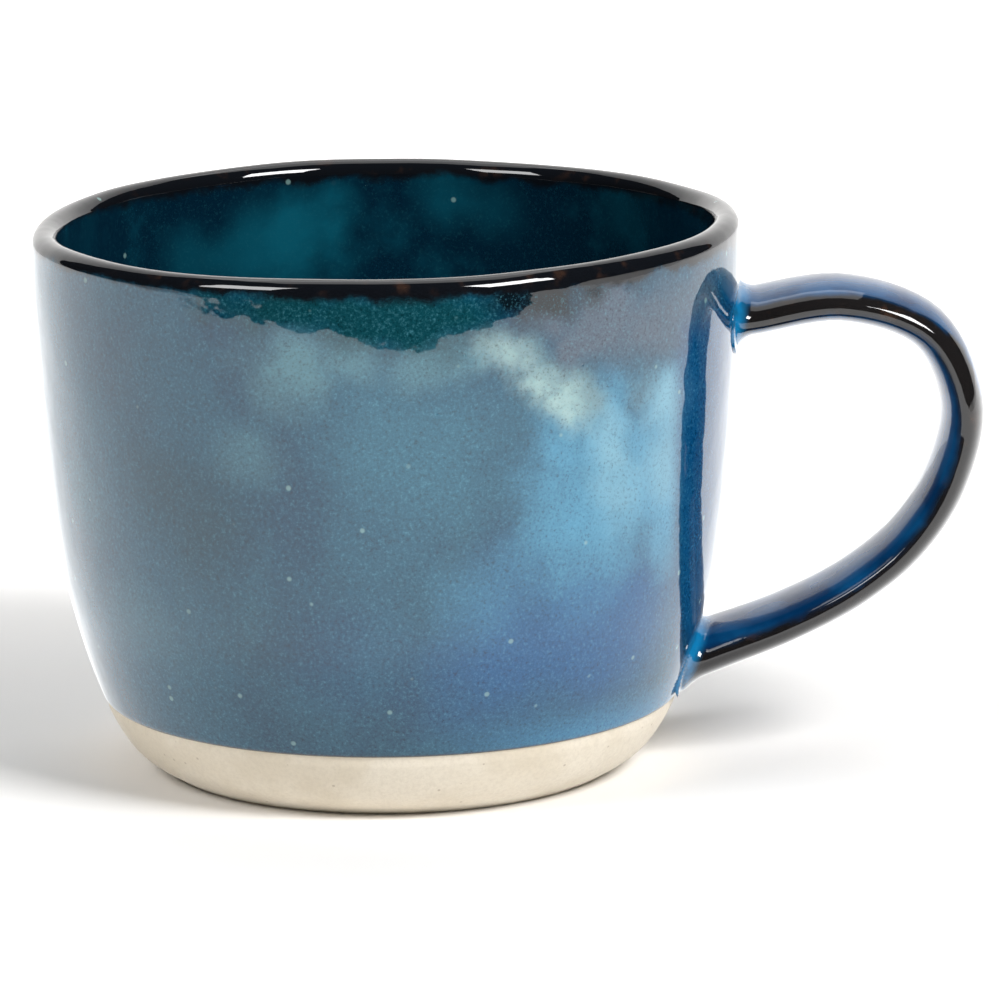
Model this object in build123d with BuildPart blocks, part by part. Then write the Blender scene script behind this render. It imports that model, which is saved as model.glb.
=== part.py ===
from build123d import *

import os

# Handmade stoneware mug: a thrown body, a pulled strap handle luted to its wall, and the fired glaze.
# Millimetres. The origin is the centre of the resting face, +Z is up and +X points to the handle.

# Driving sizes
mug_height = 78.8
rim_radius = 50.0
lip_width = 4.0
foot_radius = 32.2
foot_edge = 0.8
glaze = 0.45
glaze_line_height = 10.4
lip_coat_depth = 7.0
skin_points = 15
floor_height = 6.0
recess_radius = 22.0
recess_depth = 1.2
recess_slope = 3.0

# Clay of the outside wall, as (radius, height) from the foot up to the start of the lip
wall_points = [
    (foot_radius + foot_edge, foot_edge),
    (37.3, 4.1),
    (41.4, 12.0),
    (45.65, 27.0),
    (48.3, 50.0),
    (49.5, 71.0),
]
wall_tangents = [(1, 1.15), (0, 1)]

# Clay of the inside wall, as (radius, height) from the edge of the floor up to the lip
cavity_points = [
    (24.0, floor_height),
    (36.6, 12.6),
    (42.0, 27.0),
    (45.3, 50.0),
    (46.4, 71.0),
]
cavity_tangents = [(0, -1), (-1, 0)]

# Handle: centreline as (distance from the axis, height), from inside the upper wall to inside the lower wall
handle_path_points = [
    (41.0, 62.8),
    (52.5, 64.8),
    (64.9, 66.4),
    (76.8, 62.1),
    (81.8, 51.4),
    (79.7, 40.4),
    (74.2, 31.6),
    (66.5, 25.1),
    (57.2, 20.2),
    (36.0, 12.6),
]
strap_width = 16.5
strap_thickness = 5.3
root_widening = 1.6
root_thickening = 0.6
strap_sections = 17

# Joint: a bed of slip under each end of the handle, and a coil of soft clay pressed round it.
# Spreads are what the coil adds at the wall beside, outside and inside the loop of the handle.
slip_thickness = 0.3
upper_coil_reach = 4.0
upper_coil_spreads = (1.8, 1.3, 1.8)
lower_coil_reach = 6.5
lower_coil_spreads = (2.2, 0.1, 1.4)
coil_edge = 0.2
coil_sections = 6
root_depth = 1.8

# Lip: a half round over the two walls
lip_centre_radius = rim_radius - lip_width / 2
clay_lip_radius = lip_width / 2 - glaze
lip_centre_height = mug_height - lip_width / 2
lip_coat_height = mug_height - lip_coat_depth
clay_rim_outside = (lip_centre_radius + clay_lip_radius, lip_centre_height)
clay_rim_inside = (lip_centre_radius - clay_lip_radius, lip_centre_height)


def revolve_section(section):
    """Turn a half section on the XZ plane once round the mug's axis."""
    with BuildPart() as turned:
        add(section)
        revolve(axis=Axis.Z)
    return turned.part


def grown_line(line, skin):
    """The same line, or the one that runs beside it at a skin's distance, on the side away from the clay."""
    if not skin:
        return line
    points = []
    for index in range(skin_points):
        position = index / (skin_points - 1)
        direction = line % position
        points.append(line @ position + skin * Vector(direction.Y, -direction.X))
    return Spline(*points, tangents=[line % 0, line % 1], tangent_scalars=(1, 1))


def outside_wall(skin=0.0):
    """Line of the wall from the foot up to the lip, with a skin over the clay."""
    up = [*wall_points, clay_rim_outside]
    wall = Spline(*up, tangents=wall_tangents, tangent_scalars=(1, 1), mode=Mode.PRIVATE)
    return grown_line(wall, skin)


def cavity_wall(skin=0.0):
    """Line of the inside from the lip down to the edge of the floor, with a skin over the clay."""
    down = [clay_rim_inside, *reversed(cavity_points)]
    wall = Spline(*down, tangents=cavity_tangents, tangent_scalars=(1, 1), mode=Mode.PRIVATE)
    return grown_line(wall, skin)


def lip_arc(skin=0.0):
    """Half round of the lip, from its outside over the top to its inside."""
    radius = clay_lip_radius + skin
    return ThreePointArc(
        (lip_centre_radius + radius, lip_centre_height),
        (lip_centre_radius, lip_centre_height + radius),
        (lip_centre_radius - radius, lip_centre_height),
        mode=Mode.PRIVATE,
    )


def clay_section():
    """Half section of the thrown body, with the shallow recess that is trimmed under its floor."""
    with BuildSketch(Plane.XZ) as section:
        with BuildLine():
            add(outside_wall())
            add(lip_arc())
            add(cavity_wall())
            Polyline(
                cavity_wall() @ 1,
                (0, floor_height),
                (0, recess_depth),
                (recess_radius - recess_slope, recess_depth),
                (recess_radius, 0),
                (foot_radius, 0),
                outside_wall() @ 0,
            )
        make_face()
    return section.sketch


def filled_section(skin=0.0):
    """Half section of the mug with its cavity filled, and a skin over its wall and lip."""
    with BuildSketch(Plane.XZ) as section:
        with BuildLine():
            add(outside_wall(skin))
            add(lip_arc(skin))
            Polyline(lip_arc(skin) @ 1, (0, lip_centre_height), (0, 0), (foot_radius, 0), outside_wall(skin) @ 0)
        make_face()
    return section.sketch


def coat_section(lowest, highest):
    """Half section of the glaze over the wall, lip, cavity and floor, between two heights."""
    with BuildSketch(Plane.XZ) as section:
        with BuildLine():
            add(outside_wall(glaze))
            add(lip_arc(glaze))
            add(cavity_wall(glaze))
            Polyline(
                cavity_wall(glaze) @ 1,
                (0, floor_height + glaze),
                (0, floor_height),
                cavity_wall() @ 1,
            )
            add(cavity_wall())
            add(lip_arc())
            add(outside_wall())
            Line(outside_wall() @ 0, outside_wall(glaze) @ 0)
        make_face()
        with Locations((0, lowest)):
            Rectangle(mug_height, highest - lowest, align=Align.MIN, mode=Mode.INTERSECT)
    return section.sketch


def handle_path():
    """Centreline of the handle, from inside the upper wall to inside the lower wall."""
    with BuildLine(Plane.XZ) as centreline:
        Spline(*handle_path_points)
    return centreline.edge()


def wall_crossings(path):
    """Distances along the centreline at which it leaves the upper wall and enters the lower wall."""
    with BuildLine(Plane.XZ) as wall:
        Spline(*wall_points, clay_rim_outside, tangents=wall_tangents, tangent_scalars=(1, 1))
    crossings = [path.param_at_point(vertex.center()) for vertex in path.intersect(wall.edge())]
    return [position * path.length for position in sorted(crossings)]


def strap_section(path, distance, beside, outside, inside):
    """Oval section of the strap, a little fuller near the two roots, with what is added on its sides."""
    position = distance / path.length
    root_share = abs(2 * position - 1) ** 4
    width = strap_width + root_widening * root_share + 2 * beside
    thickness = strap_thickness + root_thickening * root_share + outside + inside
    with BuildSketch(Plane(path @ position, x_dir=(0, 1, 0), z_dir=path % position)) as section:
        with Locations((0, (outside - inside) / 2)):
            Ellipse(width / 2, thickness / 2)
    return section.sketch


def strap(growth=0.0):
    """The whole strap, its ends inside the wall, grown all round."""
    path = handle_path()
    with BuildPart() as whole:
        for index in range(strap_sections):
            distance = path.length * index / (strap_sections - 1)
            add(strap_section(path, distance, growth, growth, growth))
        loft()
    return whole.part


def flare(crossing, outward, reach, spreads, growth=0.0):
    """A flare round the strap, widest where it meets the wall, closing on the strap at its reach."""
    path = handle_path()
    length = root_depth + reach + growth
    with BuildPart() as body:
        for index in range(coil_sections):
            from_wall = length * index / (coil_sections - 1) - root_depth
            share = (1 - from_wall / (reach + growth)) ** 2
            added = [growth + coil_edge + spread * share for spread in spreads]
            add(strap_section(path, crossing + outward * from_wall, *added))
        loft()
    return body.part


def upper_flare(growth=0.0):
    """Flare at the upper end of the handle."""
    return flare(wall_crossings(handle_path())[0], 1, upper_coil_reach, upper_coil_spreads, growth)


def lower_flare(growth=0.0):
    """Flare at the lower end of the handle."""
    return flare(wall_crossings(handle_path())[1], -1, lower_coil_reach, lower_coil_spreads, growth)


strap_clay = strap()
upper_clay = upper_flare()
lower_clay = lower_flare()
inside_wall_line = revolve_section(filled_section())
inside_slip_line = revolve_section(filled_section(slip_thickness))
inside_glaze_line = revolve_section(filled_section(glaze))

# Thrown clay body, with the bare clay of its foot
with BuildPart() as stoneware_body:
    add(revolve_section(clay_section()))
stoneware_body.part.label = "stoneware_body"

# Pulled strap of clay, its two ends scored to the wall
with BuildPart() as pulled_handle:
    add(strap_clay)
    add(inside_slip_line, mode=Mode.SUBTRACT)
pulled_handle.part.label = "pulled_handle"

# Bed of slip that glues the upper end of the handle to the wall
with BuildPart() as upper_slip_bed:
    add(strap_clay)
    add(inside_slip_line, mode=Mode.INTERSECT)
    add(inside_wall_line, mode=Mode.SUBTRACT)
    split(bisect_by=Plane.XY.offset(mug_height / 2), keep=Keep.TOP)
upper_slip_bed.part.label = "upper_slip_bed"

# Bed of slip that glues the lower end of the handle to the wall
with BuildPart() as lower_slip_bed:
    add(strap_clay)
    add(inside_slip_line, mode=Mode.INTERSECT)
    add(inside_wall_line, mode=Mode.SUBTRACT)
    split(bisect_by=Plane.XY.offset(mug_height / 2), keep=Keep.BOTTOM)
lower_slip_bed.part.label = "lower_slip_bed"

# Coil of soft clay pressed round the upper joint
with BuildPart() as upper_joint_coil:
    add(upper_clay)
    add(strap_clay, mode=Mode.SUBTRACT)
    add(inside_wall_line, mode=Mode.SUBTRACT)
upper_joint_coil.part.label = "upper_joint_coil"

# Coil of soft clay pressed round the lower joint
with BuildPart() as lower_joint_coil:
    add(lower_clay)
    add(strap_clay, mode=Mode.SUBTRACT)
    add(inside_wall_line, mode=Mode.SUBTRACT)
lower_joint_coil.part.label = "lower_joint_coil"

# Glaze inside the mug, over the floor and the cavity
with BuildPart() as liner_glaze:
    with BuildSketch(Plane.XZ):
        add(coat_section(floor_height, lip_coat_height))
        add(filled_section(), mode=Mode.INTERSECT)
    revolve(axis=Axis.Z)
liner_glaze.part.label = "liner_glaze"

# Glaze over the lip
with BuildPart() as lip_glaze:
    with BuildSketch(Plane.XZ):
        add(coat_section(lip_coat_height, mug_height))
    revolve(axis=Axis.Z)
lip_glaze.part.label = "lip_glaze"

# Glaze over the outside wall, down to the line where it stops above the foot
with BuildPart() as outer_glaze:
    with BuildSketch(Plane.XZ):
        add(coat_section(glaze_line_height, lip_coat_height))
        add(filled_section(), mode=Mode.SUBTRACT)
    revolve(axis=Axis.Z)
    add(strap_clay, mode=Mode.SUBTRACT)
    add(upper_clay, mode=Mode.SUBTRACT)
    add(lower_clay, mode=Mode.SUBTRACT)
outer_glaze.part.label = "outer_glaze"

# Glaze over the handle and its two joints
with BuildPart() as handle_glaze:
    add(strap(glaze))
    add(upper_flare(glaze))
    add(lower_flare(glaze))
    add(inside_glaze_line, mode=Mode.SUBTRACT)
    add(strap_clay, mode=Mode.SUBTRACT)
    add(upper_clay, mode=Mode.SUBTRACT)
    add(lower_clay, mode=Mode.SUBTRACT)
handle_glaze.part.label = "handle_glaze"

os.makedirs("parts", exist_ok=True)
export_step(stoneware_body.part, "parts/stoneware_body.step")
export_step(pulled_handle.part, "parts/pulled_handle.step")
export_step(upper_slip_bed.part, "parts/upper_slip_bed.step")
export_step(lower_slip_bed.part, "parts/lower_slip_bed.step")
export_step(upper_joint_coil.part, "parts/upper_joint_coil.step")
export_step(lower_joint_coil.part, "parts/lower_joint_coil.step")
export_step(liner_glaze.part, "parts/liner_glaze.step")
export_step(lip_glaze.part, "parts/lip_glaze.step")
export_step(outer_glaze.part, "parts/outer_glaze.step")
export_step(handle_glaze.part, "parts/handle_glaze.step")
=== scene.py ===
import math

import bmesh
import bpy
from mathutils import Matrix, Vector, noise


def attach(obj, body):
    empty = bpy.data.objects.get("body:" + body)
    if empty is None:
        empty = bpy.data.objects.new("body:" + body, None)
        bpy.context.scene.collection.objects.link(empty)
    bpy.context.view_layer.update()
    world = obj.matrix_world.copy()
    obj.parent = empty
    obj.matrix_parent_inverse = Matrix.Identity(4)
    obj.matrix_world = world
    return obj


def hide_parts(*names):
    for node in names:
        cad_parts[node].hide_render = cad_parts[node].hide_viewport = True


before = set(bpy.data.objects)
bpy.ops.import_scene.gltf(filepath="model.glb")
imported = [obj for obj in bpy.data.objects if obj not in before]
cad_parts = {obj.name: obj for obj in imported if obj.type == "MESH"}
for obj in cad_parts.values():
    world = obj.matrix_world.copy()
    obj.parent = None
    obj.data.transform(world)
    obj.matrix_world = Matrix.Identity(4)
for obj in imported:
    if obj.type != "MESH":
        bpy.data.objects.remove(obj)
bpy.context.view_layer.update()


# ---------------------------------------------------------------- thrown clay body
# The mug is thrown in cream stoneware on a wheel and trimmed: a round belly that narrows to a small
# bare foot. All of it but the foot is under the glaze, so the clay shows only below the glaze line.

MM = 0.001
HEIGHT = 78.8 * MM
COAT = 0.45 * MM
LIP_CENTRE = 48.0 * MM
LIP_RADIUS = 2.0 * MM
FOOT_RADIUS = 33.0 * MM
GLAZE_LINE = 10.4 * MM
FLOOR = 6.45 * MM
AROUND = 288

# Finished outside and inside as (radius, height) in mm, from the foot up and from the lip down
OUTSIDE = [(33.0, 0.6), (35.3, 1.9), (37.7, 4.1), (40.1, 8.0), (42.1, 12.8), (44.1, 18.9),
           (46.1, 27.0), (47.6, 37.4), (48.75, 49.8), (49.6, 62.3), (50.0, 71.0), (50.0, 76.8)]
INSIDE = [(46.0, 76.8), (45.9, 71.0), (44.7, 50.0), (41.55, 27.0), (36.3, 13.2), (30.0, 8.2), (22.0, 6.45)]


def curve_through(points, steps):
    """Points along a smooth curve through the given ones, in metres."""
    ends = [2 * Vector(points[0]) - Vector(points[1]), 2 * Vector(points[-1]) - Vector(points[-2])]
    keys = [ends[0]] + [Vector(p) for p in points] + [ends[1]]
    along = []
    for i in range(1, len(keys) - 2):
        a, b, c, d = keys[i - 1:i + 3]
        for k in range(steps):
            t = k / steps
            point = 0.5 * (2 * b + (c - a) * t + (2 * a - 5 * b + 4 * c - d) * t * t
                           + (3 * b - a - 3 * c + d) * t ** 3)
            along.append(point * MM)
    along.append(keys[-2] * MM)
    return along


def lip_curve(radius, steps=16):
    """Half round of the lip, from its outside over the top to its inside."""
    centre = Vector((LIP_CENTRE, HEIGHT - LIP_RADIUS))
    turns = [math.pi * k / steps for k in range(1, steps)]
    return [centre + radius * Vector((math.cos(a), math.sin(a))) for a in turns]


def shifted(line, amount):
    """The same line moved off by an amount on its right hand side."""
    moved = []
    for i, point in enumerate(line):
        along = line[min(i + 1, len(line) - 1)] - line[max(i - 1, 0)]
        moved.append(point + Vector((along.y, -along.x)).normalized() * amount)
    return moved


def hand_wobble(x, y, z):
    """How far the wall of a hand thrown mug is from true at a place, outwards, and how much higher."""
    a = math.atan2(y, x)
    high = max(0.0, min(1.0, z / HEIGHT))
    out = 0.2 * math.cos(2 * a) + 0.1 * math.cos(3 * a + 1.1)
    out += 0.12 * noise.noise(Vector((4 * math.cos(a), 4 * math.sin(a), z * 60)))
    lift = 0.5 * math.cos(a) + 0.2 * math.cos(2 * a + 2.0) + 0.16 * math.cos(3 * a + 0.4)
    lift += 0.07 * math.cos(7 * a) + 0.12 * noise.noise(Vector((3 * math.cos(a), 3 * math.sin(a), 5)))
    return out * high * MM, lift * high ** 4 * MM


def add_wobble(bm):
    """Moves every point of a turned piece by the same unevenness, so that the coats stay together."""
    for v in bm.verts:
        radius = math.hypot(v.co.x, v.co.y)
        if radius < 1e-6:
            continue
        out, lift = hand_wobble(*v.co)
        share = min(1.0, radius / (20 * MM))
        v.co += Vector((v.co.x / radius * out * share, v.co.y / radius * out * share, lift * share))


def turned(name, profile, closed):
    """A piece turned from its half section, which starts and ends on the axis unless it is closed."""
    bm = bmesh.new()
    verts = [bm.verts.new((p.x, 0, p.y)) for p in profile]
    edges = [bm.edges.new(pair) for pair in zip(verts, verts[1:])]
    if closed:
        edges.append(bm.edges.new((verts[-1], verts[0])))
    bmesh.ops.spin(bm, geom=verts + edges, cent=(0, 0, 0), axis=(0, 0, 1), angle=math.tau,
                   steps=AROUND, use_merge=True)
    bmesh.ops.remove_doubles(bm, verts=bm.verts, dist=1e-6)
    add_wobble(bm)
    bmesh.ops.recalc_face_normals(bm, faces=bm.faces)
    return as_piece(name, bm)


def as_piece(name, bm):
    """Puts a mesh into the scene with smooth shading."""
    for face in bm.faces:
        face.smooth = True
    mesh = bpy.data.meshes.new(name)
    bm.to_mesh(mesh)
    bm.free()
    piece = bpy.data.objects.new(name, mesh)
    bpy.context.collection.objects.link(piece)
    return piece


outside = curve_through(OUTSIDE, 8)
inside = curve_through(INSIDE, 8)
clay_outside = shifted(outside, -COAT)
clay_inside = shifted(inside, -COAT)
clay_profile = [Vector((0, 1.2 * MM)), Vector((18.5 * MM, 1.2 * MM)), Vector((21.6 * MM, 0.3 * MM)),
                Vector((22.3 * MM, 0)), Vector((31.9 * MM, 0)), Vector((32.6 * MM, 0.2 * MM))]
clay_profile += [p for p in outside if p.y < 9.6 * MM]
clay_profile += [p for p in clay_outside if p.y > 10.8 * MM] + lip_curve(LIP_RADIUS - COAT) + clay_inside
clay_profile += [Vector((0, FLOOR - COAT))]


def wall_radius(z):
    """Radius of the glazed wall at a height."""
    for low, high in zip(outside, outside[1:]):
        if low.y <= z <= high.y:
            return low.x + (high.x - low.x) * (z - low.y) / (high.y - low.y)
    return outside[-1].x


class Shader:
    """A material's nodes, with short calls for the ones that the pieces use."""

    def __init__(self, name):
        self.material = bpy.data.materials.new(name)
        self.material.use_nodes = True
        self.tree = self.material.node_tree
        self.surface = self.tree.nodes["Principled BSDF"]
        self.place = self.tree.nodes.new("ShaderNodeTexCoord").outputs["Object"]

    def put(self, value, socket):
        """Sets a socket to a constant, or links it."""
        if isinstance(value, bpy.types.NodeSocket):
            self.tree.links.new(value, socket)
        elif isinstance(value, (tuple, list)) and len(value) == 3 and socket.type == "RGBA":
            socket.default_value = (*value, 1)
        else:
            socket.default_value = value

    def math(self, operation, a, b=0.0, c=0.0, clamp=False):
        node = self.tree.nodes.new("ShaderNodeMath")
        node.operation = operation
        node.use_clamp = clamp
        for value, socket in zip((a, b, c), node.inputs):
            self.put(value, socket)
        return node.outputs[0]

    def vector(self, operation, a, b=(0, 0, 0), scale=1.0):
        node = self.tree.nodes.new("ShaderNodeVectorMath")
        node.operation = operation
        self.put(a, node.inputs[0])
        self.put(b, node.inputs[1])
        if operation == "SCALE":
            self.put(scale, node.inputs["Scale"])
        return node.outputs["Value"] if operation in ("LENGTH", "DISTANCE", "DOT_PRODUCT") else node.outputs[0]

    def noise(self, size, detail=2.0, roughness=0.5, distortion=0.0, at=None, output="Fac"):
        """Noise with lumps of about the given size in metres."""
        node = self.tree.nodes.new("ShaderNodeTexNoise")
        self.put(at or self.place, node.inputs["Vector"])
        node.inputs["Scale"].default_value = 1 / size
        node.inputs["Detail"].default_value = detail
        node.inputs["Roughness"].default_value = roughness
        node.inputs["Distortion"].default_value = distortion
        return node.outputs[output]

    def specks(self, spacing, at=None):
        """Distance to the nearest of many scattered points, as a share of their spacing."""
        node = self.tree.nodes.new("ShaderNodeTexVoronoi")
        self.put(at or self.place, node.inputs["Vector"])
        node.inputs["Scale"].default_value = 1 / spacing
        return node.outputs["Distance"], node.outputs["Color"]

    def ramp(self, value, low, high, to_low=0.0, to_high=1.0, smooth=True):
        """Value mapped from one range onto another and held at its ends."""
        node = self.tree.nodes.new("ShaderNodeMapRange")
        node.interpolation_type = "SMOOTHSTEP" if smooth else "LINEAR"
        for entry, socket in zip((value, low, high, to_low, to_high), node.inputs):
            self.put(entry, socket)
        return node.outputs[0]

    def mix(self, share, a, b, blend="MIX"):
        node = self.tree.nodes.new("ShaderNodeMix")
        node.data_type = "RGBA"
        node.blend_type = blend
        self.put(share, node.inputs[0])
        self.put(a, node.inputs[6])
        self.put(b, node.inputs[7])
        return node.outputs[2]

    def split(self, at=None):
        node = self.tree.nodes.new("ShaderNodeSeparateXYZ")
        self.put(at or self.place, node.inputs[0])
        return node.outputs

    def bump(self, height, strength=1.0, distance=0.001):
        node = self.tree.nodes.new("ShaderNodeBump")
        node.inputs["Strength"].default_value = strength
        node.inputs["Distance"].default_value = distance
        self.put(height, node.inputs["Height"])
        self.tree.links.new(node.outputs[0], self.surface.inputs["Normal"])

    def finish(self, colour, roughness, ior):
        for value, name in ((colour, "Base Color"), (roughness, "Roughness"), (ior, "IOR")):
            self.put(value, self.surface.inputs[name])
        return self.material


def clay_material():
    """Bare fired stoneware: cream, with fine grog, dark specks and a fine uneven surface."""
    s = Shader("bare stoneware")
    x, y, z = s.split()
    cloud = s.noise(0.012, 3)
    grain = s.noise(0.0006, 4, 0.7)
    base = s.mix(s.ramp(cloud, 0.35, 0.65), (0.70, 0.62, 0.49), (0.79, 0.72, 0.60))
    base = s.mix(s.ramp(grain, 0.35, 0.75, 0.0, 0.3), base, (0.52, 0.45, 0.35))
    dots, pick = s.specks(0.0016)
    dark = s.math("MULTIPLY", s.ramp(dots, 0.10, 0.16, 1.0, 0.0), s.ramp(s.split(pick)[0], 0.8, 0.85))
    base = s.mix(s.math("MULTIPLY", dark, 0.5), base, (0.33, 0.24, 0.16))
    s.bump(s.math("ADD", s.noise(0.0005, 5, 0.7), s.math("MULTIPLY", s.noise(0.003), 2.0)), 0.35, 0.00012)
    return s.finish(base, 0.75, 1.45)


clay_body = turned("clay_body", clay_profile, False)
clay_body.data.materials.append(clay_material())
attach(clay_body, "root")
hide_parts("stoneware_body")


# ---------------------------------------------------------------- glaze on the body
# One fired coat of blue gloss glaze covers the wall, the lip, the cavity and its floor. It breaks to
# near black where it is thin over the lip, and stops in a soft uneven edge above the foot.

coat_profile = [p for p in outside if p.y > 10.8 * MM] + lip_curve(LIP_RADIUS) + inside
coat_profile += [Vector((0, FLOOR))]
under = [Vector((0, FLOOR - COAT))] + clay_inside[::-1] + lip_curve(LIP_RADIUS - COAT)[::-1]
under += [p for p in clay_outside if p.y > 10.8 * MM][::-1]
edge_bead = [Vector((41.18, 10.62)) * MM, Vector((41.05, 10.45)) * MM, Vector((40.95, 10.4)) * MM]
coat_profile = under + edge_bead[::-1] + coat_profile


def patches(s, at, spots, side=-1):
    """Sum of soft round patches on the front or back wall, each (x, z, radius, strength) in mm."""
    total = 0.0
    for across, high, radius, strength in spots:
        deep = side * math.sqrt(48.0 ** 2 - across ** 2)
        away = s.vector("DISTANCE", at, (across * MM, deep * MM, high * MM))
        total = s.math("ADD", total, s.ramp(away, radius * 0.25 * MM, radius * 1.5 * MM, strength, 0.0))
    return s.math("MINIMUM", total, 1.0)


def mark_hollow(piece):
    """Marks each point of the coat with how far it is past the top of the lip, on the inside of the mug."""
    marks = piece.data.attributes.new("hollow", "FLOAT", "POINT")
    for v, mark in zip(piece.data.vertices, marks.data):
        depth = (LIP_CENTRE - math.hypot(v.co.x, v.co.y)) / LIP_RADIUS
        if v.co.z < HEIGHT - 5 * MM:
            depth = 1.0 if math.hypot(v.co.x, v.co.y) < wall_radius(v.co.z) - 2.2 * MM else 0.0
        mark.value = max(0.0, min(1.0, depth))


AZURE = [(39, 58, 6, 0.9), (36, 52, 7, 0.7), (30, 55, 5, 0.8), (31, 49, 7, 0.8), (38, 47, 6, 0.7), (23, 56, 5, 0.8),
         (22, 50, 6, 0.5), (22, 45, 6, 0.45), (31, 42, 7, 0.6), (38, 41, 5, 0.6), (27, 37, 8, 0.4),
         (30, 61, 4, 0.7), (22, 39, 6, 0.4), (13, 33, 7, 0.35), (39, 36, 5, 0.5)]
SKY = [(30, 55, 4, 0.55), (38, 58, 5, 0.7), (31, 49, 5, 0.45), (38, 48, 5, 0.5), (31, 43, 4, 0.2), (34, 61, 3, 0.3)]
CREAM = [(13.5, 69.5, 3, 0.45), (16, 68.5, 3, 0.4), (19, 66.5, 3.5, 0.6), (22, 63, 4, 0.75), (25, 60.5, 4, 0.6),
         (28.5, 58.5, 3, 0.2)]
DARK = [(-26, 46, 8, 0.7), (-33, 50, 6, 0.5), (-24, 38, 7, 0.4), (-20, 28, 5, 0.2)]
PALE = [(-18, 69, 4, 0.3), (-11, 68, 5, 0.8), (-4, 68, 4, 0.8), (4, 68, 4, 0.75), (10, 68.5, 3, 0.6),
        (-13, 64, 5, 0.75), (-19, 54, 5, 0.4), (-42, 44, 6, 0.3), (-36, 28, 7, 0.2)]
MILD = [(-4, 60, 9, 0.6), (4, 56, 9, 0.6), (12, 60, 7, 0.5), (0, 48, 9, 0.5), (12, 50, 7, 0.4), (-12, 16, 8, 0.4)]
DEEP = [(22, 26, 14, 0.8), (34, 26, 12, 0.9), (12, 20, 10, 0.5), (-6, 24, 9, 0.2)]
LILAC = [(20, 73.5, 3.5, 0.9), (23.5, 68.5, 3.2, 1.0), (26, 71, 5, 1.0), (31, 70.5, 6, 1.0), (37, 69.5, 6, 1.0), (42, 72, 5, 0.8),
         (29, 75, 4, 0.9)]
TEAL = [(-12, 75.5, 4, 0.9), (-6, 74, 5, 1.0), (0, 73.5, 5, 1.0), (6, 73.5, 5, 1.0), (12, 74.5, 4, 0.8),
        (-17, 75, 4.5, 0.9), (-23, 76, 4, 0.8)]
BLACK = [(15, 76.5, 3, 1.0), (19, 75, 4, 1.0), (23, 76.5, 4, 1.0), (28, 78, 3.5, 1.0), (33, 78.5, 3, 0.8),
         (8, 77.5, 2, 0.8), (1, 77.5, 2, 0.6), (-6, 77.5, 2, 0.6)]
# Brighter patches on the inside of the back wall: painted light where light falls into the cavity
PAINTED_LIGHT_INSIDE = [(-12, 69, 6, 0.9), (-7, 72, 4, 0.7), (-6, 65, 4, 0.5), (-20, 67, 7, 0.8), (-30, 66, 6, 0.5), (9, 75, 5, 0.7),
        (16, 72, 5, 0.4), (36, 74, 5, 0.4), (-14, 61, 5, 0.4)]


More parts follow.
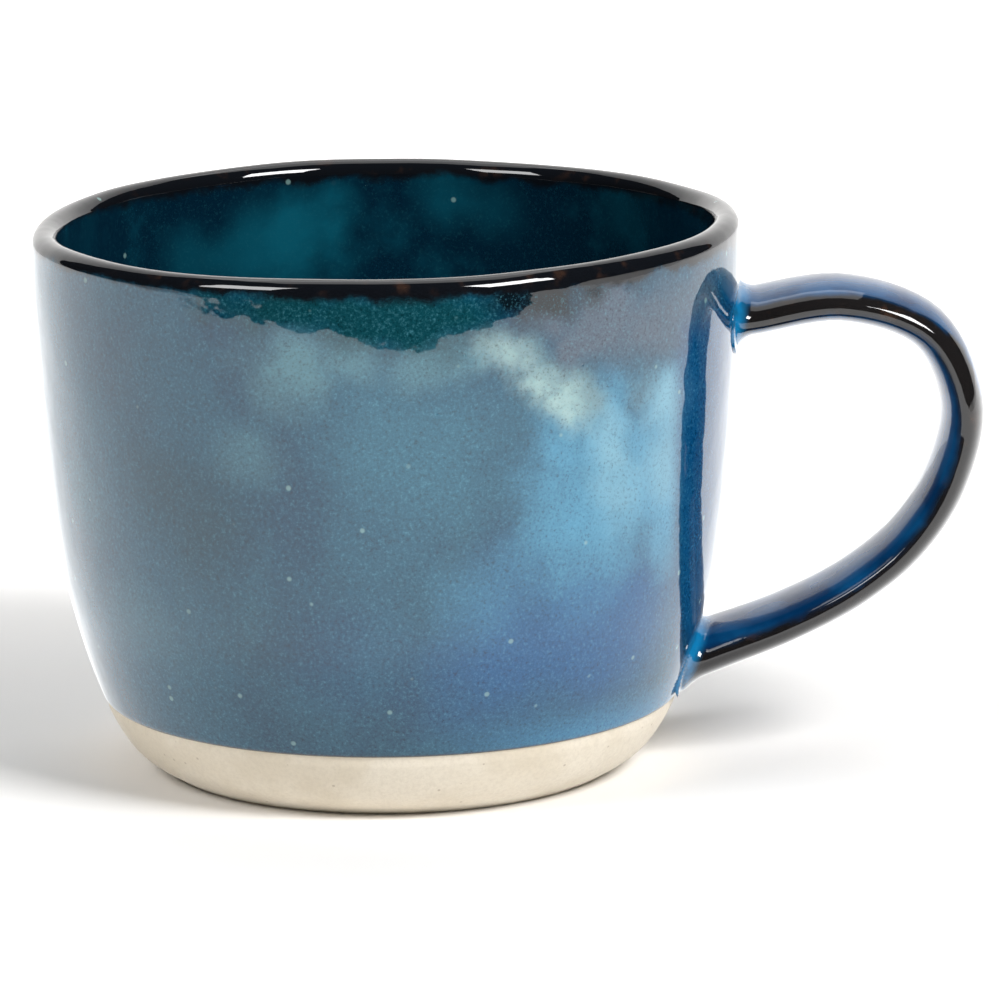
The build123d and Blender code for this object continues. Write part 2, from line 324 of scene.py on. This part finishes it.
def glaze_material():
    """The glaze seen through its own gloss: mottled blue over the wall, azure where it ran thick at the handle's side,
    black over the lip and deep teal inside, with the specks and pinholes of a firing. Painted light and shade: the
    inside is brighter teal where light falls and near black elsewhere, and the wall is paler towards the foot as
    painted reflection."""
    s = Shader("blue gloss glaze")
    x, y, z = s.split()
    warp = s.vector("SUBTRACT", s.noise(0.012, 4, 0.6, output="Color"), (0.5, 0.5, 0.5))
    moved = s.vector("ADD", s.place, s.vector("SCALE", warp, scale=0.009))
    runs = s.vector("MULTIPLY", moved, (1.0, 1.0, 0.3))

    base = s.mix(s.ramp(s.noise(0.022, 3, at=moved), 0.38, 0.62), (0.002, 0.052, 0.108), (0.008, 0.082, 0.145))
    base = s.mix(s.ramp(s.noise(0.006, 3, 0.6, at=runs), 0.5, 0.8, 0.0, 0.35), base, (0.025, 0.125, 0.18))
    base = s.mix(s.ramp(x, -0.03, -0.046, 0.0, 0.45), base, (0.03, 0.105, 0.165))
    behind = s.ramp(y, -0.012, 0.012)
    runny = s.math("MULTIPLY", s.ramp(s.noise(0.02, 4, 0.6, at=runs), 0.52, 0.72, 0.0, 0.7), behind)
    base = s.mix(runny, base, (0.05, 0.22, 0.35))
    murky = s.math("MULTIPLY", s.ramp(s.noise(0.026, 3, 0.5, at=runs), 0.5, 0.34, 0.0, 0.7), behind)
    base = s.mix(murky, base, (0.001, 0.04, 0.085))
    base = s.mix(patches(s, moved, DARK), base, (0.002, 0.05, 0.088))
    base = s.mix(patches(s, moved, MILD), base, (0.02, 0.12, 0.19))
    base = s.mix(patches(s, moved, PALE), base, (0.075, 0.2, 0.25))
    base = s.mix(patches(s, moved, DEEP), base, (0.001, 0.078, 0.215))
    azure = s.math("MULTIPLY", patches(s, moved, AZURE), s.ramp(s.noise(0.005, 4, 0.65, at=runs), 0.25, 0.6, 0.7, 1.0))
    base = s.mix(azure, base, (0.055, 0.25, 0.40))
    base = s.mix(patches(s, moved, SKY), base, (0.2, 0.41, 0.51))
    cream = s.math("MULTIPLY", patches(s, moved, CREAM), s.ramp(s.noise(0.003, 4, 0.65), 0.3, 0.6, 0.65, 1.0))
    base = s.mix(cream, base, (0.34, 0.51, 0.50))
    low = s.math("MULTIPLY", s.ramp(z, 0.0105, 0.017, 1.0, 0.0), s.ramp(x, 0.002, 0.03))
    base = s.mix(s.math("MULTIPLY", low, s.ramp(y, 0.0, -0.01)), base, (0.03, 0.2, 0.38))
    shaded = s.math("MULTIPLY", s.ramp(x, 0.0385, 0.0415), s.ramp(z, 0.073, 0.067))
    base = s.mix(s.math("MULTIPLY", shaded, 0.85), base, (0.001, 0.05, 0.15))
    base = s.mix(patches(s, moved, LILAC), base, (0.062, 0.092, 0.135))
    base = s.mix(patches(s, moved, TEAL), base, (0.003, 0.05, 0.066))
    base = s.mix(patches(s, moved, BLACK), base, (0.002, 0.008, 0.013))

    hollow = s.tree.nodes.new("ShaderNodeAttribute")
    hollow.attribute_name = "hollow"
    # Inside colour: brighter teal where light falls (painted light) with random mottling, near black elsewhere
    # (painted shade)
    glow = s.math("ADD", patches(s, moved, PAINTED_LIGHT_INSIDE, 1), s.ramp(s.noise(0.012, 4, 0.6), 0.5, 0.75, 0.0, 0.35))
    inner = s.mix(s.math("MINIMUM", glow, 1.0), (0.001, 0.014, 0.03), (0.003, 0.085, 0.128))
    # Paler and greyer towards the foot: painted reflection, standing in for more of the floor mirrored there
    low = s.ramp(z, 0.024, 0.012, 0.0, 0.2)
    base = s.mix(low, base, (0.07, 0.13, 0.18))
    grain = s.noise(0.00045, 3, 0.8)
    light_grain = s.ramp(grain, 0.5, 0.75)
    base = s.mix(s.math("MULTIPLY", light_grain, 0.5), base, s.mix(0.6, base, (0.12, 0.40, 0.5)))
    base = s.mix(s.ramp(grain, 0.5, 0.25), base, s.mix(0.6, base, (0.0, 0.0, 0.0)))
    inner = s.mix(s.math("MULTIPLY", light_grain, 0.25), inner, (0.02, 0.12, 0.15))
    base = s.mix(hollow.outputs["Fac"], base, inner)

    ragged = s.math("MULTIPLY", s.noise(0.007, 4, 0.6), 0.0045)
    height = s.math("ADD", z, ragged)
    base = s.mix(s.ramp(height, 0.0778, 0.0792), base, (0.004, 0.005, 0.007))
    copper = s.math("MULTIPLY", s.ramp(height, 0.0785, 0.0805), s.ramp(s.noise(0.003, 4), 0.56, 0.75))
    base = s.mix(s.math("MULTIPLY", copper, 0.3), base, (0.09, 0.042, 0.022))
    dots, pick = s.specks(0.0034)
    chosen = s.ramp(s.split(pick)[0], 0.78, 0.8)
    pale_dot = s.math("MULTIPLY", s.ramp(dots, 0.07, 0.15, 1.0, 0.0), chosen)
    base = s.mix(s.math("MULTIPLY", pale_dot, 0.55), base, (0.25, 0.42, 0.4))
    edge = s.math("MULTIPLY", s.ramp(z, 0.0109, 0.0104, 0.0, 0.75), s.math("SUBTRACT", 1.0, hollow.outputs["Fac"]))
    base = s.mix(edge, base, (0.07, 0.045, 0.03))

    pits, pit_pick = s.specks(0.006)
    pit = s.math("MULTIPLY", s.ramp(pits, 0.02, 0.045, 1.0, 0.0), s.ramp(s.split(pit_pick)[1], 0.8, 0.82))
    wave = s.math("ADD", s.noise(0.011, 2), s.math("MULTIPLY", s.noise(0.0028, 2), 0.10))
    s.bump(s.math("SUBTRACT", wave, s.math("MULTIPLY", pit, 0.6)), 0.5, 0.0003)
    return s.finish(base, 0.03, 1.55)


body_coat = turned("body_glaze", coat_profile, True)
mark_hollow(body_coat)
body_glaze = glaze_material()
body_coat.data.materials.append(body_glaze)
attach(body_coat, "root")
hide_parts("liner_glaze", "lip_glaze", "outer_glaze")


# ---------------------------------------------------------------- pulled handle
# A strap of clay pulled by hand, bent into a loop and luted to the wall with slip. A coil of soft clay
# is worked round each joint, so the handle flows into the wall, and one coat of glaze covers it all.

HANDLE_PATH = [(40.5, 62.6), (46.7, 63.7), (52.5, 64.8), (64.9, 66.4), (76.8, 62.1), (81.8, 51.4),
               (79.7, 40.4), (74.2, 31.6), (66.5, 25.1), (57.2, 20.2), (46.7, 16.3), (36.0, 12.6)]
STRAP_WIDTH = 17.4
STRAP_THICKNESS = 6.2


def from_wall(point):
    """Distance of a point from the glazed wall, below zero inside it."""
    out, lift = hand_wobble(*point)
    return math.hypot(point.x, point.y) - wall_radius(point.z - lift) - out


def handle_bm():
    path = curve_through(HANDLE_PATH, 60)
    lengths = [0.0]
    for p, q in zip(path, path[1:]):
        lengths.append(lengths[-1] + (q - p).length)
    whole = lengths[-1]
    bm = bmesh.new()
    rings = []
    places = {}
    around = 72
    i = 0
    while i < len(path):
        near = abs(from_wall(Vector((path[i].x, 0, path[i].y))))
        if i and (near > 9 * MM and i % 8):
            i += 1
            continue
        if math.hypot(path[i].x, 0) < wall_radius(path[i].y) - 3.0 * MM:
            i += 1
            continue
        ahead = path[min(i + 1, len(path) - 1)] - path[max(i - 1, 0)]
        along = Vector((ahead.x, 0, ahead.y)).normalized()
        beside = Vector((0, 1, 0))
        outer = along.cross(beside) * -1
        outer = beside.cross(along) * -1
        share = lengths[i] / whole
        root = abs(2 * share - 1) ** 4
        half_width = (STRAP_WIDTH / 2 + 0.8 * root) * MM
        half_thick = (STRAP_THICKNESS / 2 + (0.15 if share < 0.5 else 0.7) * root) * MM
        ring = []
        for k in range(around):
            a = math.tau * k / around
            aside = beside * math.cos(a)
            out = outer * math.sin(a)
            spot = Vector((path[i].x, 0, path[i].y)) + aside * half_width + out * half_thick
            upper = share < 0.5
            if upper:
                radius = 2.6 + 0.3 * math.sin(a)
            else:
                radius = 2.6 + 0.6 * math.sin(a)
            radius *= MM
            gap = from_wall(spot)
            for _ in range(2):
                inside_share = max(0.0, min(1.0, gap / radius))
                spread = radius * (1 - math.sqrt(max(0.0, 1 - (1 - inside_share) ** 2)))
                grown = spot + (aside + out).normalized() * spread
                gap = 0.5 * gap + 0.5 * from_wall(grown)
            ring.append(bm.verts.new(grown))
            places[len(places)] = (math.sin(a), share)
        rings.append(ring)
        i += 1
    for one, two in zip(rings, rings[1:]):
        for k in range(around):
            bm.faces.new((one[k], one[(k + 1) % around], two[(k + 1) % around], two[k]))
    bm.faces.new(rings[0])
    bm.faces.new(rings[-1])
    bmesh.ops.recalc_face_normals(bm, faces=bm.faces)
    layer = bm.verts.layers.float.new("from_wall")
    outer_layer = bm.verts.layers.float.new("outer_side")
    along_layer = bm.verts.layers.float.new("along")
    for i, v in enumerate(bm.verts):
        v[layer] = from_wall(v.co)
        v[outer_layer], v[along_layer] = places[i]
    return bm


def handle_material():
    """The same glaze: blue on the flats of the strap, brown black where it is thin over the two edges,
    and azure where it pooled round the joints."""
    s = Shader("handle gloss glaze")
    x, y, z = s.split()
    pool = s.tree.nodes.new("ShaderNodeAttribute")
    pool.attribute_name = "from_wall"
    blue = s.mix(s.ramp(s.noise(0.008, 3), 0.38, 0.62), (0.001, 0.03, 0.10), (0.004, 0.07, 0.19))
    outer_side = s.tree.nodes.new("ShaderNodeAttribute")
    outer_side.attribute_name = "outer_side"
    along = s.tree.nodes.new("ShaderNodeAttribute")
    along.attribute_name = "along"
    side = s.math("ADD", s.math("ABSOLUTE", y), s.math("MULTIPLY", s.noise(0.006, 3, 0.6), 0.0014))
    wander = s.math("MULTIPLY", s.math("SUBTRACT", s.noise(0.009, 4, 0.6), 0.5), 0.5)
    outer_limit = s.ramp(s.math("ADD", along.outputs["Fac"], wander), 0.28, 0.56, 0.0078, 0.003)
    limit = s.mix(s.ramp(outer_side.outputs["Fac"], -0.1, 0.1), (0.0089, 0, 0), (0, 0, 0))
    limit = s.math("ADD", s.split(limit)[0], s.math("MULTIPLY", s.ramp(outer_side.outputs["Fac"], -0.1, 0.1), outer_limit))
    thin = s.ramp(s.math("SUBTRACT", side, limit), -0.0007, 0.0006)
    base = s.mix(thin, blue, (0.010, 0.009, 0.009))
    copper = s.math("MULTIPLY", s.math("MULTIPLY", thin, 0.6), s.ramp(s.noise(0.004, 4, 0.7), 0.55, 0.72))
    base = s.mix(copper, base, (0.06, 0.03, 0.018))
    pooled = s.math("MULTIPLY", s.ramp(pool.outputs["Fac"], 0.0004, 0.0021, 0.9, 0.0),
                    s.ramp(s.noise(0.004, 3), 0.3, 0.55, 0.5, 1.0))
    base = s.mix(pooled, base, (0.004, 0.18, 0.40))
    dots, pick = s.specks(0.0032)
    dot = s.math("MULTIPLY", s.ramp(dots, 0.05, 0.1, 1.0, 0.0), s.ramp(s.split(pick)[0], 0.87, 0.89))
    base = s.mix(s.math("MULTIPLY", dot, 0.6), base, (0.3, 0.36, 0.36))
    s.bump(s.math("ADD", s.noise(0.009, 2), s.math("MULTIPLY", s.noise(0.002, 2), 0.1)), 0.5, 0.00025)
    return s.finish(base, 0.03, 1.55)


handle = as_piece("handle", handle_bm())
handle.data.materials.append(handle_material())
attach(handle, "root")
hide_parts("pulled_handle", "handle_glaze", "upper_joint_coil", "lower_joint_coil",
            "upper_slip_bed", "lower_slip_bed")


# ---------------------------------------------------------------- floor, light and camera

def sweep(name, section):
    """White paper that runs away from the mug and curves up, from its section as (y, z)."""
    bm = bmesh.new()
    wide = 1.6
    left = [bm.verts.new((-wide, y, z)) for y, z in section]
    right = [bm.verts.new((wide, y, z)) for y, z in section]
    for i in range(len(section) - 1):
        bm.faces.new((left[i], right[i], right[i + 1], left[i + 1]))
    paper = as_piece(name, bm)
    return paper


def paper_material():
    """Matt white paper that glows more and more towards the back, painted light standing in for light from behind, and
    glows in front as well.
    """
    s = Shader("white paper")
    x, y, z = s.split()
    # Painted light: emission that brightens the paper towards the back and in front
    glow = s.math("MAXIMUM", s.ramp(y, 0.0, 0.26, 0.0, 0.75), s.ramp(y, -0.27, -0.5, 0.0, 0.9))
    s.put(glow, s.surface.inputs["Emission Strength"])
    s.surface.inputs["Emission Color"].default_value = (1, 1, 1, 1)
    s.surface.inputs["Specular IOR Level"].default_value = 0.0
    return s.finish((0.92, 0.905, 0.885), 0.9, 1.45)


def card_material():
    """Bright card that only the glaze mirrors: dimmer beside the mug as a painted shadow of the mug on the floor, with
    a ragged front edge.
    """
    s = Shader("mirrored card")
    x, y, z = s.split()
    away = s.vector("LENGTH", s.vector("MULTIPLY", s.place, (1, 1, 0)))
    aside = s.math("ABSOLUTE", x)
    start = s.ramp(x, -0.02, 0.02, 0.3, 0.35)
    bend = s.math("MULTIPLY", s.math("MAXIMUM", s.math("SUBTRACT", aside, start), 0.0), s.ramp(x, -0.02, 0.02, 0.9, 2.0))
    bend = s.math("SUBTRACT", bend, s.ramp(aside, 0.04, 0.13, 0.0, 0.024))
    ragged = s.math("MULTIPLY", s.math("SUBTRACT", s.noise(0.02, 8, 0.75), 0.5), 0.045)
    edge = s.math("ADD", s.math("SUBTRACT", y, bend), ragged)
    # Dimmer near the mug's axis: painted shadow of the mug on the floor that the card stands for
    bright = s.math("MULTIPLY", s.ramp(away, 0.035, 0.09, 0.5, 1.0), CARD)
    tree = s.tree
    emission = tree.nodes.new("ShaderNodeEmission")
    s.put(bright, emission.inputs["Strength"])
    clear = tree.nodes.new("ShaderNodeBsdfTransparent")
    both = tree.nodes.new("ShaderNodeMixShader")
    s.put(s.math("GREATER_THAN", edge, CARD_FRONT), both.inputs[0])
    tree.links.new(clear.outputs[0], both.inputs[1])
    tree.links.new(emission.outputs[0], both.inputs[2])
    out = next(node for node in tree.nodes if node.type == "OUTPUT_MATERIAL")
    tree.links.new(both.outputs[0], out.inputs[0])
    return s.material


CARD = 2.05
CARD_FRONT = -0.31

white_paper = paper_material()
paper = sweep("paper_sweep", [(-0.27, 0.0), (0.9, 0.0), (1.12, 0.05), (1.28, 0.2), (1.35, 0.45), (1.35, 2.2)])
paper.data.materials.append(white_paper)

# The paper in front is only for the views from behind, so the glaze doesn't mirror it
front = sweep("front_paper", [(-0.27, 0.0), (-1.1, 0.0), (-1.32, 0.05), (-1.48, 0.2), (-1.55, 0.45), (-1.55, 2.2)])
front.data.materials.append(white_paper)
front.visible_glossy = False
front.visible_diffuse = False
front.visible_shadow = False

bm = bmesh.new()
bmesh.ops.create_grid(bm, x_segments=1, y_segments=1, size=1.2)
bmesh.ops.translate(bm, verts=bm.verts, vec=(0, 0.6, 0.0004))
card = as_piece("mirrored_card", bm)
card.data.materials.append(card_material())
card.visible_camera = False
card.visible_diffuse = False
card.visible_shadow = False
card.visible_transmission = False


def softbox(name, azimuth, elevation, away, size, power):
    """A square softbox aimed at the mug, its azimuth counted from the front towards the handle."""
    a, e = math.radians(azimuth), math.radians(elevation)
    place = Vector((math.sin(a) * math.cos(e), -math.cos(a) * math.cos(e), math.sin(e))) * away
    light = bpy.data.lights.new(name, "AREA")
    light.size = size
    light.energy = power
    holder = bpy.data.objects.new(name, light)
    holder.location = place
    holder.rotation_euler = (Vector((0, 0, 0.04)) - place).to_track_quat("-Z", "Y").to_euler()
    bpy.context.collection.objects.link(holder)
    return holder


softbox("right_softbox", 45, 42, 1.2, 0.42, 14.8)
softbox("left_softbox", -52, 42, 1.2, 0.42, 5.6)
softbox("top_softbox", 180, 70, 1.3, 0.8, 2.8)

world = bpy.data.worlds.new("dark room")
world.use_nodes = True
world.node_tree.nodes["Background"].inputs["Color"].default_value = (0.02, 0.02, 0.022, 1)
bpy.context.scene.world = world
bpy.context.scene.view_settings.view_transform = "Standard"

camera = bpy.data.cameras.new("camera")
camera.lens = 252
camera.sensor_width = 36
camera.clip_start = 0.01
eye = bpy.data.objects.new("camera", camera)
bpy.context.collection.objects.link(eye)
azimuth, elevation = math.radians(0.0), math.radians(12.45)
back = Vector((math.sin(azimuth) * math.cos(elevation), -math.cos(azimuth) * math.cos(elevation),
               math.sin(elevation)))
turn = (-back).to_track_quat("-Z", "Y").to_matrix()
turn = turn @ Matrix.Rotation(math.radians(-0.908), 3, "Y") @ Matrix.Rotation(math.radians(-0.106), 3, "X")
turn = turn @ Matrix.Rotation(math.radians(-0.78), 3, "Z")
eye.matrix_world = Matrix.Translation(Vector((0, 0, 0.0394)) + back) @ turn.to_4x4()
bpy.context.scene.camera = eye
